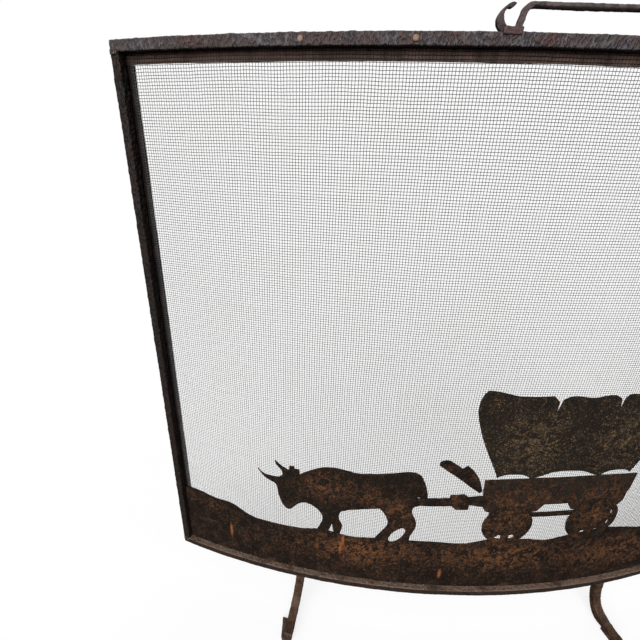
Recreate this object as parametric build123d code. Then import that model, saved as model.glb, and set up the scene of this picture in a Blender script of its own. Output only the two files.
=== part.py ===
"""Bow-front fireplace screen: hammered iron bar frame, woven wire mesh, sheet-iron ox and covered wagon.

Millimetres, +Z up, front towards -Y, floor at Z = 0. Every plate and rail is bent about one vertical axis behind
the screen. Heights called "above the frame" start at the underside of the bottom rail.
"""

import os
from math import asin, cos, degrees, radians, sin

from build123d import *

# Frame
FRONT_RADIUS = 1270.0  # front faces of the rails
HALF_BOW_DEG = 21.0  # from the middle to either end
FRAME_HEIGHT = 742.0
BAR_WIDTH = 11.0  # across the front face
BAR_DEPTH = 10.0
LEG_HEIGHT = 76.0
FRONT_Y = -42.0  # front face at the middle; centres the whole depth on Y = 0

# Mesh and the flat strips behind it
MESH_THICKNESS = 1.4
EDGE_INSET = 1.0
TOP_STRIP_WIDTH = 20.0
SIDE_STRIP_WIDTH = 17.0
STRIP_THICKNESS = 3.0

# Cut sheet-iron figures, in front of the mesh
SHEET = 2.0

# Rivets
RIVET_RADIUS = 1.5
RIVET_HEAD_RADIUS = 2.8
RIVET_HEAD_HEIGHT = 0.9
RAIL_RIVETS = 8
RAIL_RIVET_PITCH = 102.5  # along the arc
FIGURE_RIVET_RADIUS = 0.9
FIGURE_HEAD_RADIUS = 1.6
FIGURE_HEAD_HEIGHT = 0.7
HEAD_SEAT = 0.01  # keeps a flat head clear of the hollow side of a bent plate

# Handle
HANDLE_BAR = 4.4  # depth of the square posts and scrolls
GRIP_RADIUS = 2.8
GRIP_RISE = 19.4  # middle of the grip above the rail
GRIP_HALF_LENGTH = 58.0

# Legs
LEG_ARC_DEG = 11.25  # each side of the middle
LEG_WIDTH = 13.5
LEG_SPLAY_DEG = 5.5
PAD_THICKNESS = 6.0
PAD_LENGTH = 33.0
PAD_BACK = 25.0  # back edge of the pad, forward of the rail's face
PAD_STEP = 8.5  # how far the pad stands out beside the leg, at its back
TOE_STEP = 3.5  # and at its toe
REAR_REACH = 92.4
TOE_HEIGHT = 8.0

AXIS_Y = FRONT_Y + FRONT_RADIUS
TOP = LEG_HEIGHT + FRAME_HEIGHT
MESH_DEPTH = BAR_DEPTH
STRIP_DEPTH = MESH_DEPTH + MESH_THICKNESS
BACK_DEPTH = STRIP_DEPTH + STRIP_THICKNESS
FIGURE_DEPTH = MESH_DEPTH - SHEET  # front of the figures that lie on the mesh
OVERLAY_DEPTH = FIGURE_DEPTH - SHEET  # front of the pieces that lap over them
STILE_INNER_DEG = HALF_BOW_DEG - degrees(BAR_WIDTH / FRONT_RADIUS)

parts = {}


def on_bow(shape, angle):
    """Turns a shape made at the middle of the screen round to an angle on the bow."""
    return Pos(0, AXIS_Y, 0) * Rot(0, 0, angle) * Pos(0, -AXIS_Y, 0) * shape


def bow_plate(depth, thickness, low, high, start, end):
    """Bent bar or plate: depth behind the front face, heights above the frame, angles on the bow."""
    middle = (start + end) / 2

    def at(radius, angle):
        return (radius * sin(radians(angle)), AXIS_Y - radius * cos(radians(angle)))

    outer, inner = FRONT_RADIUS - depth, FRONT_RADIUS - depth - thickness
    edges = [
        ThreePointArc(at(outer, start), at(outer, middle), at(outer, end)),
        Line(at(outer, end), at(inner, end)),
        ThreePointArc(at(inner, end), at(inner, middle), at(inner, start)),
        Line(at(inner, start), at(outer, start)),
    ]
    return Pos(0, 0, LEG_HEIGHT + low) * extrude(make_face(edges), high - low)


def outline(start, *runs):
    """Closed face. Each run goes on from the last point: one point is a straight cut, more are a smooth curve."""
    edges, last = [], start
    for run in runs:
        points = [last, *run]
        edges.append(Line(*points) if len(points) == 2 else Spline(*points))
        last = run[-1]
    if last != start:
        edges.append(Line(last, start))
    return make_face(edges)


def bend(face, depth=FIGURE_DEPTH):
    """Cuts a flat front-view figure out of sheet that follows the bow."""
    reach = 2 * abs(FRONT_Y) + 100
    solid = Pos(0, 0, LEG_HEIGHT) * extrude(Plane.XZ * face, reach, both=True)
    return solid & bow_plate(depth, SHEET, 0, FRAME_HEIGHT, -HALF_BOW_DEG, HALF_BOW_DEG)


def rivet(height, depth, length, shank, head, rise):
    """Domed rivet at the middle of the screen, its front head standing on the surface at the given depth."""
    def disc(radius, front, thick):
        y = FRONT_Y + front + thick / 2
        return Pos(0, y, LEG_HEIGHT + height) * Rot(90, 0, 0) * Cylinder(radius, thick)

    front = disc(head, depth - rise, rise)
    back = disc(head, depth + length + HEAD_SEAT, rise)
    front = chamfer(front.faces().sort_by(Axis.Y)[0].edges(), rise * 0.6)
    back = chamfer(back.faces().sort_by(Axis.Y)[-1].edges(), rise * 0.6)
    return front + disc(shank, depth, length + HEAD_SEAT) + back


def drill(height, angle, radius):
    """Rivet hole from well in front of the screen to well behind it."""
    reach = 4 * BACK_DEPTH
    return on_bow(Pos(0, FRONT_Y, LEG_HEIGHT + height) * Rot(90, 0, 0) * Cylinder(radius, reach), angle)


def mirrored(shape):
    return mirror(shape, Plane.YZ)


# ---- Frame bars, strips and mesh ----
rivet_spots = [
    (FRAME_HEIGHT - BAR_WIDTH / 2, degrees((i - (RAIL_RIVETS - 1) / 2) * RAIL_RIVET_PITCH / FRONT_RADIUS))
    for i in range(RAIL_RIVETS)
]


def drilled(plate, spots, radius=RIVET_RADIUS):
    for height, angle in spots:
        plate -= drill(height, angle, radius)
    return plate


INSET_DEG = degrees(EDGE_INSET / FRONT_RADIUS)
SIDE_STRIP_DEG = degrees(SIDE_STRIP_WIDTH / FRONT_RADIUS)
bars = {
    "top_rail": (FRAME_HEIGHT - BAR_WIDTH, FRAME_HEIGHT, -HALF_BOW_DEG, HALF_BOW_DEG),
    "bottom_rail": (0, BAR_WIDTH, -HALF_BOW_DEG, HALF_BOW_DEG),
    "left_stile": (BAR_WIDTH, FRAME_HEIGHT - BAR_WIDTH, -HALF_BOW_DEG, -STILE_INNER_DEG),
    "right_stile": (BAR_WIDTH, FRAME_HEIGHT - BAR_WIDTH, STILE_INNER_DEG, HALF_BOW_DEG),
}
for name, extent in bars.items():
    parts[name] = bow_plate(0, BAR_DEPTH, *extent)

strip_low = EDGE_INSET + TOP_STRIP_WIDTH
strip_end = HALF_BOW_DEG - INSET_DEG
side_inner = strip_end - SIDE_STRIP_DEG
strips = {
    "top_strip": (FRAME_HEIGHT - strip_low, FRAME_HEIGHT - EDGE_INSET, -strip_end, strip_end),
    "bottom_strip": (EDGE_INSET, strip_low, -strip_end, strip_end),
    "left_strip": (strip_low, FRAME_HEIGHT - strip_low, -strip_end, -side_inner),
    "right_strip": (strip_low, FRAME_HEIGHT - strip_low, side_inner, strip_end),
}
for name, extent in strips.items():
    parts[name] = bow_plate(STRIP_DEPTH, STRIP_THICKNESS, *extent)

# Rivets through the top rail, the mesh and the top strip
for name in ("top_rail", "top_strip"):
    parts[name] = drilled(parts[name], rivet_spots)
parts["frame_rivets"] = Compound(
    children=[
        on_bow(rivet(height, 0, BACK_DEPTH, RIVET_RADIUS, RIVET_HEAD_RADIUS, RIVET_HEAD_HEIGHT), angle)
        for height, angle in rivet_spots
    ]
)

# Weld beads across the four corner joints
BEAD_RISE, BEAD_HALF_HEIGHT, BEAD_WIDTH = 1.2, 2.6, 9.0
bead_end = HALF_BOW_DEG - INSET_DEG
bead_start = bead_end - degrees(BEAD_WIDTH / FRONT_RADIUS)
beads = []
for height in (BAR_WIDTH, FRAME_HEIGHT - BAR_WIDTH):
    bead = bow_plate(
        -BEAD_RISE, BEAD_RISE, height - BEAD_HALF_HEIGHT, height + BEAD_HALF_HEIGHT, bead_start, bead_end
    )
    bead = fillet(bead.edges(), BEAD_RISE * 0.4)
    beads += [bead, mirrored(bead)]
parts["corner_welds"] = Compound(children=beads)

# ---- Ground strip ----
ground_line = [
    (-414, 126), (-384, 120.5), (-365, 120.5), (-350, 115), (-337, 107), (-322, 101.5), (-300, 100),
    (-262, 100.5), (-240, 103), (-221, 107.5), (-205, 107), (-188, 104), (-165, 102), (-142, 105),
    (-129, 106), (-113, 101), (-96, 105), (-66, 108), (-34, 108), (-10, 106.5), (6, 109), (28, 115.5),
    (60, 117), (95, 116), (120, 112), (145, 116.5), (180, 123), (215, 126), (250, 121), (285, 113),
    (325, 109), (365, 114), (405, 123),
]  # fmt: skip
GROUND_END = 446.0
ground_face = outline(
    (-GROUND_END, BAR_WIDTH),
    [(-GROUND_END, 124.5)],
    [*ground_line, (GROUND_END, 122)],
    [(GROUND_END, BAR_WIDTH)],
)
between_stiles = bow_plate(FIGURE_DEPTH, SHEET, 0, FRAME_HEIGHT, -STILE_INNER_DEG, STILE_INNER_DEG)
ground = bend(ground_face) & between_stiles
parts["ground_plate"] = ground

# ---- Ox ----
ox_face = outline(
    (-313.4, 208.2),  # tip of the near horn
    [(-304.5, 199.6), (-293, 197.6), (-281.5, 199)],
    [(-277, 203.5)],
    [(-277.3, 211.5), (-284.6, 220.8), (-287.4, 229.8)],  # tip of the far horn
    [(-278.2, 221.2), (-267, 215.4)],
    [(-266.4, 223.4)],  # yoke
    [(-259.6, 223.8)],
    [(-258.6, 219.8)],
    [(-251.4, 219.8)],
    [(-250.8, 210.5)],
    [(-246.5, 214.4), (-231.4, 224.3), (-215.7, 231.6), (-202.8, 233.2), (-189.7, 232.3), (-176, 229.6),
     (-144.7, 231.6), (-121, 236), (-96, 240.8), (-84, 237.2), (-77.6, 227.6), (-72, 213), (-68.8, 198)],
    [(-71, 183)],  # tail
    [(-85.4, 177)],
    [(-86.6, 165), (-80.3, 151), (-78.3, 140), (-80.6, 129), (-82.9, 98)],  # back of the hind leg
    [(-137, 98)],
    [(-133.5, 110), (-125, 125), (-120, 137), (-120.8, 147), (-126, 158.5), (-133.5, 167.6)],
    [(-146, 165.2), (-160, 161.8), (-177, 157.2), (-188.8, 151.7)],  # belly
    [(-191.2, 144), (-190.6, 134.2), (-186, 124.5), (-186.5, 114), (-190, 98)],
    [(-226, 98)],
    [(-223, 108), (-217.5, 121), (-215.8, 134.5), (-222.6, 148), (-232.4, 155.4), (-242.4, 158), (-253.6, 152),
     (-260.6, 143.4), (-265.8, 138.3), (-273.3, 141.3), (-279.3, 153), (-284, 170), (-287, 184), (-292.5, 187.6)],
    [(-307, 197), (-313.4, 208.2)],
)  # fmt: skip
front_gap = outline((-201, 124), [(-206.5, 104)], [(-197.3, 104)])
hind_gap = Pos(-104, 117) * Rot(0, 0, 58) * Ellipse(17.5, 8)
tail_gap = Pos(-81, 195) * Circle(1.8)
ox_face = ox_face - front_gap - hind_gap - tail_gap
parts["ox"] = bend(ox_face) - ground

# ---- Pole from the ox to the wagon ----
pole_face = outline(
    (-88, 182),
    [(-88, 195.5)],
    [(-68, 197.6), (-40, 200)],
    [(4, 206.5)],
    [(11, 205)],
    [(11, 186)],
    [(-9, 188.5)],
    [(-31, 186), (-88, 182)],
)
parts["draft_pole"] = bend(pole_face, OVERLAY_DEPTH)
hitch_face = fillet(
    outline((-40, 193), [(-40, 208)], [(-20.5, 211)], [(-12, 204)], [(-10.5, 182)], [(-29, 181)]).vertices(), 2
)
parts["hitch_plate"] = bend(hitch_face, OVERLAY_DEPTH - SHEET)

# ---- Wagon ----
WAGON_MIDDLE = 118.0  # the wagon is laid out as a mirror image about this line
FRONT_WHEEL = (53.0, 149.0, 37.0)  # x, height, radius
REAR_WHEEL = (184.0, 152.0, 41.0)


def both_ends(points):
    """Adds the mirror image of the front half of a line, about the middle of the wagon."""
    return [*points, *[(2 * WAGON_MIDDLE - x, z) for x, z in reversed(points)]]


dash_face = outline(
    (-60.6, 256.6),
    [(-59.5, 262.5), (-52.6, 266), (-45.6, 264.6)],
    [(-28.6, 252.8)],
    [(-22.6, 258.4)],
    [(-14, 250.5), (-6.5, 241), (-1.2, 231), (4.6, 213.5)],
    [(1.2, 210)],
    [(-31, 235)],
)
bed_bottom = [
    (10.6, 183.5), (16, 175), (23, 173), (23, 133), (83, 133), (83, 173), (92, 175), (100, 187.5)
]  # reaches down behind the upper part of each wheel
bed_face = outline(
    (4.9, 233.4),
    [(38.8, 236), (WAGON_MIDDLE, 237.4), (2 * WAGON_MIDDLE - 38.8, 236), (2 * WAGON_MIDDLE - 4.9, 233.4)],
    *[[(x, z)] for x, z in reversed(both_ends([(6.2, 214), *bed_bottom]))],
)
top_line = [(-17.7, 378.4), (0, 376.2), (18, 372.2), (38, 370.6), (56, 371.4), (66, 372)]
canopy_face = outline(
    (20.2, 238.6),
    [(5.5, 269), (-9.5, 299.6), (-20, 327), (-25.6, 350), (-24.6, 366), (-17.7, 378.4)],
    top_line[1:],
    [(74, 364)],
    [(74.8, 345.5)],
    [(79, 366)],
    [(88, 371), (WAGON_MIDDLE, 368.5), (2 * WAGON_MIDDLE - 88, 371), (2 * WAGON_MIDDLE - 79, 366)],
    [(2 * WAGON_MIDDLE - 74.8, 345.5)],
    [(2 * WAGON_MIDDLE - 74, 364)],
    [(2 * WAGON_MIDDLE - x, z) for x, z in reversed(top_line)],
    [(2 * WAGON_MIDDLE - x, z) for x, z in
     [(-24.6, 366), (-25.6, 350), (-20, 327), (-9.5, 299.6), (5.5, 269), (20.2, 238.6)]],
    [(2 * WAGON_MIDDLE - x, z) for x, z in [(30, 243.6), (41, 245), (52, 244.6), (67, 237.6)]],
    [(2 * WAGON_MIDDLE - 76, 239.4), (2 * WAGON_MIDDLE - 92, 246.4), (WAGON_MIDDLE, 249.4), (92, 246.4),
     (76, 239.4), (67, 237.6)],
    [(52, 244.6), (41, 245), (30, 243.6), (20.2, 238.6)],
)  # fmt: skip
parts["dash_board"] = bend(dash_face)
parts["wagon_bed"] = bend(bed_face)
parts["canopy"] = bend(canopy_face - bed_face) - parts["wagon_bed"]
parts["reach_pole"] = bend(outline((83, 163.4), [(83, 172)], [(153, 172)], [(153, 163.4)]))


def wheel(x, height, radius, spokes=8):
    """Cartwheel cut from one sheet, nearly closed: broad hub, rim and spokes with small gaps between them."""
    rim, hub, spoke_width = 0.22 * radius, 0.57 * radius, 0.32 * radius
    face = Circle(radius) - Circle(radius - rim) + Circle(hub)
    for i in range(spokes):
        length = radius - rim / 2
        spoke = Pos(length / 2, 0) * Rectangle(length, spoke_width)
        face += Rot(0, 0, (i + 0.05) * 360 / spokes) * spoke
    return bend(Pos(x, height) * face, OVERLAY_DEPTH)


parts["front_wheel"] = wheel(*FRONT_WHEEL)
parts["rear_wheel"] = wheel(*REAR_WHEEL)

# ---- Small rivets that hold the figures to the mesh: x, height, front face depth ----
figure_spots = [
    (-263.7, 175.5, FIGURE_DEPTH),
    (-222, 206, FIGURE_DEPTH),
    (-120, 212, FIGURE_DEPTH),
    (-78, 188, OVERLAY_DEPTH),
    (-25, 196, OVERLAY_DEPTH - SHEET),
    (-53.4, 259.2, FIGURE_DEPTH),
    (-10.9, 355, FIGURE_DEPTH),
    (WAGON_MIDDLE, 262, FIGURE_DEPTH),
    (2 * WAGON_MIDDLE + 10.9, 355, FIGURE_DEPTH),
    (22, 222, FIGURE_DEPTH),
    (2 * WAGON_MIDDLE - 22, 222, FIGURE_DEPTH),
    (FRONT_WHEEL[0], FRONT_WHEEL[1], OVERLAY_DEPTH),
    (REAR_WHEEL[0], REAR_WHEEL[1], OVERLAY_DEPTH),
]  # fmt: skip
figure_holes, figure_rivets = [], []
for x, height, depth in figure_spots:
    angle = degrees(asin(x / (FRONT_RADIUS - FIGURE_DEPTH)))
    length = STRIP_DEPTH - depth
    figure_holes.append((height, angle))
    figure_rivets.append(
        on_bow(
            rivet(height, depth, length, FIGURE_RIVET_RADIUS, FIGURE_HEAD_RADIUS, FIGURE_HEAD_HEIGHT), angle
        )
    )
parts["figure_rivets"] = Compound(children=figure_rivets)
for name in ("ox", "draft_pole", "hitch_plate", "dash_board", "canopy", "wagon_bed", "front_wheel", "rear_wheel"):
    box = parts[name].bounding_box()
    for height, angle in figure_holes:
        x = FRONT_RADIUS * sin(radians(angle))
        if box.min.X < x < box.max.X and box.min.Z < LEG_HEIGHT + height < box.max.Z:
            parts[name] -= drill(height, angle, FIGURE_RIVET_RADIUS)

mesh = bow_plate(
    MESH_DEPTH, MESH_THICKNESS, EDGE_INSET, FRAME_HEIGHT - EDGE_INSET, -strip_end, strip_end
)
parts["mesh_panel"] = drilled(drilled(mesh, rivet_spots), figure_holes, FIGURE_RIVET_RADIUS)

# ---- Handle: one bar with a round grip and a scroll at each end, welded on top of the rail ----
HANDLE_Y = FRONT_Y + BAR_DEPTH / 2 + 1.6
half_face = outline(
    (-GRIP_HALF_LENGTH, GRIP_RISE + 2.3),
    [(-61, 21.6), (-63.8, 20), (-67.3, 15.8)],
    [(-70.1, 5.2)],  # outside of the post
    [(-71.8, 3.8), (-74.8, 3.4), (-78.6, 4.8), (-81.2, 8), (-82.2, 11.8), (-81.2, 15.2), (-78.8, 16.8)],
    [(-76.6, 16.6), (-74.4, 18.2), (-72.9, 20)],  # tip of the scroll
    [(-75.1, 21), (-79.6, 19.5), (-83.8, 15.9), (-87, 10.9), (-87.4, 6.4), (-85.2, 2.1), (-82.4, 0)],
    [(-65.4, 0)],
    [(-65.1, 4.4)],
    [(-63.2, 10.6), (-61.2, 15.7), (-GRIP_HALF_LENGTH, GRIP_RISE - 2.3)],
)  # fmt: skip
half = extrude(Plane.XZ * half_face, HANDLE_BAR / 2, both=True)
grip = Pos(0, 0, GRIP_RISE) * Rot(0, 90, 0) * Cylinder(GRIP_RADIUS, 2 * GRIP_HALF_LENGTH + 1)
parts["handle"] = Pos(0, HANDLE_Y, TOP) * (half + grip + mirrored(half))

# Lump of weld metal in front of each foot, lapping down over the edge of the rail
LUMP_LENGTH, LUMP_DEPTH, LUMP_HEIGHT, LUMP_LAP = 17.0, 3.8, 6.2, 2.6
LUMP_X = -73.0
lump_y = HANDLE_Y - (HANDLE_BAR + LUMP_DEPTH) / 2
lump = fillet(Box(LUMP_LENGTH, LUMP_DEPTH, LUMP_HEIGHT).edges(), 1.2)
lump = Pos(LUMP_X, lump_y, TOP + LUMP_HEIGHT / 2 - LUMP_LAP) * lump
lump = lump - parts["top_rail"] - parts["handle"]
parts["handle_welds"] = Compound(children=[lump, mirrored(lump)])

# ---- Legs: profiles in the plane across the rail, forwards positive, heights from the frame down ----
FLOOR = -LEG_HEIGHT
PAD_TOP = FLOOR + PAD_THICKNESS


def across(face, width):
    """A side profile (forward, height) made solid, its width along the rail, its front towards -Y."""
    return extrude(Plane(origin=(0, 0, 0), x_dir=(0, -1, 0), z_dir=(-1, 0, 0)) * face, width / 2, both=True)


def place_leg(shape, side=-1):
    """Stands a leg under the left of the bottom rail (side -1)."""
    return on_bow(Pos(0, FRONT_Y, LEG_HEIGHT) * shape, side * LEG_ARC_DEG)


front_profile = outline(
    (0, 0),
    [(0, -16)],
    [(2.5, -34), (9, -49), (22, -57), (36, -60)],
    [(53, -60.5)],
    [(55, -66), (51, PAD_TOP)],
    [(12, PAD_TOP)],
    [(3, -62), (-5, -46), (-9, -30), (-BAR_DEPTH, -16)],
    [(-BAR_DEPTH, 0)],
)
front_leg = across(front_profile, LEG_WIDTH)
front_leg = Rot(0, LEG_SPLAY_DEG, 0) * front_leg
keep = Pos(0, 0, PAD_TOP / 2) * Box(200, 200, -PAD_TOP)
front_leg = front_leg & keep
splay_shift = -LEG_HEIGHT * sin(radians(LEG_SPLAY_DEG))
inner_edge = splay_shift + LEG_WIDTH / 2
outer_edge = splay_shift - LEG_WIDTH / 2
pad_face = outline(
    (inner_edge, -PAD_BACK),
    [(outer_edge - PAD_STEP, -PAD_BACK)],
    [(outer_edge - TOE_STEP, -PAD_BACK - PAD_LENGTH + 5)],
    [(outer_edge, -PAD_BACK - PAD_LENGTH)],
    [(inner_edge, -PAD_BACK - PAD_LENGTH)],
)
pad = Pos(0, 0, FLOOR) * extrude(pad_face, PAD_THICKNESS)
rear_profile = outline(
    (-BAR_DEPTH, -3),
    [(-34, -6.5), (-55, -21), (-73, -44), (-REAR_REACH, FLOOR + TOE_HEIGHT)],
    [(-REAR_REACH, FLOOR)],
    [(-82, FLOOR)],
    [(-65, -50), (-48.5, -28.5), (-30.5, -16), (-BAR_DEPTH, -13)],
)
rear_leg = across(rear_profile, LEG_WIDTH)
for name, shape in (("front_leg", front_leg), ("foot_pad", pad), ("rear_leg", rear_leg)):
    left = place_leg(shape)
    parts["left_" + name] = left
    parts["right_" + name] = mirrored(left)

os.makedirs("parts", exist_ok=True)
for name, shape in parts.items():
    export_step(shape, f"parts/{name}.step")

whole = Compound(children=list(parts.values())).bounding_box()
print("size", whole.size, "centre", whole.center())
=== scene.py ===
import itertools
import math

import bmesh
import bpy
import numpy as np
from mathutils import Matrix, Vector
from mathutils.geometry import delaunay_2d_cdt


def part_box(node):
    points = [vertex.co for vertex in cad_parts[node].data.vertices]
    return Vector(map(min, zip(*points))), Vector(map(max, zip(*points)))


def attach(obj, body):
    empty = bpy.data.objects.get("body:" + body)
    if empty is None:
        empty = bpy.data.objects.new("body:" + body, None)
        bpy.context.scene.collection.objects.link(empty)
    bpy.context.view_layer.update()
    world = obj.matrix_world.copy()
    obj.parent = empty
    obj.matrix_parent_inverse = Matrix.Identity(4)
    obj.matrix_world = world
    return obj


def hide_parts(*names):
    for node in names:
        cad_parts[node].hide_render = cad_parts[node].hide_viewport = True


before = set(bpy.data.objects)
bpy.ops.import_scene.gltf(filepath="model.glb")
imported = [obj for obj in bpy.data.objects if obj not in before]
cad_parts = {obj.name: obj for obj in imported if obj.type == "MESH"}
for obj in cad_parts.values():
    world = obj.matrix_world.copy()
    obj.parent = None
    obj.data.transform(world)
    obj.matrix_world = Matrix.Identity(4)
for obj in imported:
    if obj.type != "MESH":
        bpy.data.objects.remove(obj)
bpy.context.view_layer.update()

# Looks of the bow-front fireplace screen. Metres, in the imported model's frame.
# Bent pieces are laid out as (along, height, depth): along the arc of the front faces from the middle,
# height above the floor, and depth behind the front faces.

MM = 0.001
RADIUS = 1270 * MM  # front faces of the rails
BAR_WIDTH = 11 * MM
BAR_DEPTH = 10 * MM
MESH_THICKNESS = 1.4 * MM
STRIP_THICKNESS = 3 * MM
STRIP_DEPTH = BAR_DEPTH + MESH_THICKNESS
SHEET = 2 * MM
FRAME_FOOT = 76 * MM  # underside of the frame above the floor
SIDE_STRIP_WIDTH = 17 * MM

rail_low, rail_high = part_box("top_rail")
AXIS_Y = rail_low.y + RADIUS
HALF_ARC = RADIUS * math.asin(rail_high.x / RADIUS)


def to_world(along, height, depth):
    """Points in the row frame from arrays of bow coordinates."""
    along, height, depth = np.broadcast_arrays(along, height, depth)
    angle = along / RADIUS
    reach = RADIUS - depth
    return np.stack([reach * np.sin(angle), AXIS_Y - reach * np.cos(angle), height], axis=-1)


def to_bow(points):
    """Bow coordinates of points in the row frame."""
    across, back = points[..., 0], AXIS_Y - points[..., 1]
    return RADIUS * np.arctan2(across, back), points[..., 2], RADIUS - np.hypot(across, back)


# ---- Noise and hammer marks ----
CELLS = 32
DENT_STRETCH = 1.7  # length of a dent over its width


def noise(points, size, seed):
    """Smooth noise from -1 to 1 with lumps about size across."""
    table = np.random.default_rng(seed).uniform(-1, 1, (CELLS, CELLS, CELLS))
    place = points / size
    base = np.floor(place).astype(int)
    part = place - base
    part = part * part * (3 - 2 * part)
    total = np.zeros(len(points))
    for corner in itertools.product((0, 1), repeat=3):
        cell = (base + corner) % CELLS
        weight = np.prod(np.where(corner, part, 1 - part), axis=1)
        total += weight * table[cell[:, 0], cell[:, 1], cell[:, 2]]
    return total


def hammer_marks(points, spacing, seed):
    """Depth of overlapping hammer dents: 1 in the middle of a dent, falling to the ridges between."""
    rng = np.random.default_rng(seed)
    jitter = rng.uniform(0, 1, (CELLS, CELLS, CELLS, 3))
    grain = rng.normal(size=(CELLS, CELLS, CELLS, 3))
    grain /= np.linalg.norm(grain, axis=-1, keepdims=True)
    place = points / spacing
    base = np.floor(place).astype(int)
    nearest = np.full(len(points), 9.0)
    for offset in itertools.product((-1, 0, 1), repeat=3):
        cell = base + offset
        key = tuple((cell % CELLS).T)
        away = cell + jitter[key] - place
        along = np.einsum("ij,ij->i", away, grain[key])
        nearest = np.minimum(nearest, (away**2).sum(1) + (DENT_STRETCH**2 - 1) * along**2)
    return 1 - np.minimum(nearest, 1.5)


# ---- Meshes ----
def make_mesh(name, points, quads):
    """Mesh of quads from arrays, smooth shaded."""
    mesh = bpy.data.meshes.new(name)
    mesh.vertices.add(len(points))
    mesh.vertices.foreach_set("co", points.astype(np.float32).ravel())
    mesh.loops.add(quads.size)
    mesh.loops.foreach_set("vertex_index", quads.astype(np.int32).ravel())
    mesh.polygons.add(len(quads))
    mesh.polygons.foreach_set("loop_start", np.arange(0, quads.size, quads.shape[1], dtype=np.int32))
    mesh.update(calc_edges=True)
    mesh.shade_smooth()
    return mesh


def add_piece(name, mesh, material, slot, *nodes):
    """Puts a finished mesh in the scene in place of CAD nodes."""
    piece = bpy.data.objects.new(name, mesh)
    bpy.context.scene.collection.objects.link(piece)
    mesh.materials.clear()
    mesh.materials.append(material)
    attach(piece, "root")
    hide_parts(*nodes)
    return piece


def vertex_arrays(mesh):
    count = len(mesh.vertices)
    points, normals = np.empty(count * 3, np.float32), np.empty(count * 3, np.float32)
    mesh.vertices.foreach_get("co", points)
    mesh.vertex_normals.foreach_get("vector", normals)
    return points.reshape(-1, 3).astype(float), normals.reshape(-1, 3).astype(float)


def hammer(mesh, depth, spacing, seed, wave=0.25 * MM):
    """Beats the surface of a mesh: overlapping dents, and slow waves from one blow to the next."""
    points, normals = vertex_arrays(mesh)
    sink = depth * (hammer_marks(points, spacing, seed) - 0.45)
    sink += wave * noise(points, 4 * spacing, seed + 1)
    points -= normals * sink[:, None]
    mesh.vertices.foreach_set("co", points.astype(np.float32).ravel())
    mesh.update()


def settle(mesh):
    """Flattens on the floor whatever was beaten below it."""
    points, _ = vertex_arrays(mesh)
    points[:, 2] = np.maximum(points[:, 2], 0)
    mesh.vertices.foreach_set("co", points.astype(np.float32).ravel())
    mesh.update()


def rounded_section(width, thick, corner, step):
    """Points round a rectangle centred on 0, 0 with rounded corners."""
    points = []
    for turn in range(4):
        a, b = (width / 2, thick / 2) if turn % 2 == 0 else (thick / 2, width / 2)
        run = max(2, round(2 * (b - corner) / step))
        side = [(a, y) for y in np.linspace(-(b - corner), b - corner, run, endpoint=False)]
        bend = [
            (a - corner + corner * math.cos(t), b - corner + corner * math.sin(t))
            for t in np.linspace(0, math.pi / 2, 4, endpoint=False)
        ]
        c, s = math.cos(turn * math.pi / 2), math.sin(turn * math.pi / 2)
        points += [(c * x - s * y, s * x + c * y) for x, y in side + bend]
    return np.array(points)


def bar_mesh(name, start, end, width, thick, corner, step, place):
    """Solid bar with rounded edges and ends; place(t, a, b) puts section point a, b at t along the bar."""
    section = rounded_section(width, thick, corner, step)
    half = np.array([width / 2, thick / 2])
    turns = np.linspace(0, math.pi / 2, 4)
    ends = [(0, 0.3), (0, 0.65)] + [
        (corner * (1 - math.cos(t)), 1 - corner * (1 - math.sin(t)) / half) for t in turns
    ]
    inner = np.arange(start + corner + step, end - corner - step / 2, step)
    rings = [(start + off, scale) for off, scale in ends]
    rings += [(t, 1.0) for t in inner]
    rings += [(end - off, scale) for off, scale in reversed(ends)]
    t = np.array([ring[0] for ring in rings])[:, None]
    sections = np.array([section * ring[1] for ring in rings])
    points = place(t, sections[:, :, 0], sections[:, :, 1])
    count = len(section)
    index = np.arange(len(rings) * count).reshape(len(rings), count)
    after = np.roll(index, -1, axis=1)
    quads = np.stack([index[:-1], after[:-1], after[1:], index[1:]], axis=-1).reshape(-1, 4)
    mesh = make_mesh(name, points.reshape(-1, 3), quads)
    shape = bmesh.new()
    shape.from_mesh(mesh)
    shape.verts.ensure_lookup_table()
    for ring in (index[0], index[-1]):
        shape.faces.new([shape.verts[i] for i in ring]).smooth = True
    bmesh.ops.recalc_face_normals(shape, faces=shape.faces)
    shape.to_mesh(mesh)
    shape.free()
    return mesh


def bow_bar(name, low, high, start, end, depth, thick, corner=1.3 * MM, step=1.1 * MM):
    """Bar or strip bent to the bow, between two heights."""

    def place(t, a, b):
        return to_world(t, (low + high) / 2 + a, depth + thick / 2 + b)

    return bar_mesh(name, start, end, high - low, thick, corner, step, place)


def upright_bar(name, low, high, start, end, depth, thick, corner=1.3 * MM, step=1.1 * MM):
    """Upright bar or strip between two places along the bow."""

    def place(t, a, b):
        return to_world((start + end) / 2 + a, t, depth + thick / 2 + b)

    return bar_mesh(name, low, high, end - start, thick, corner, step, place)


def merged(node):
    """Editable copy of a CAD node with its split corners joined."""
    shape = bmesh.new()
    shape.from_mesh(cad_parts[node].data)
    bmesh.ops.remove_doubles(shape, verts=shape.verts, dist=0.001 * MM)
    return shape


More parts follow.
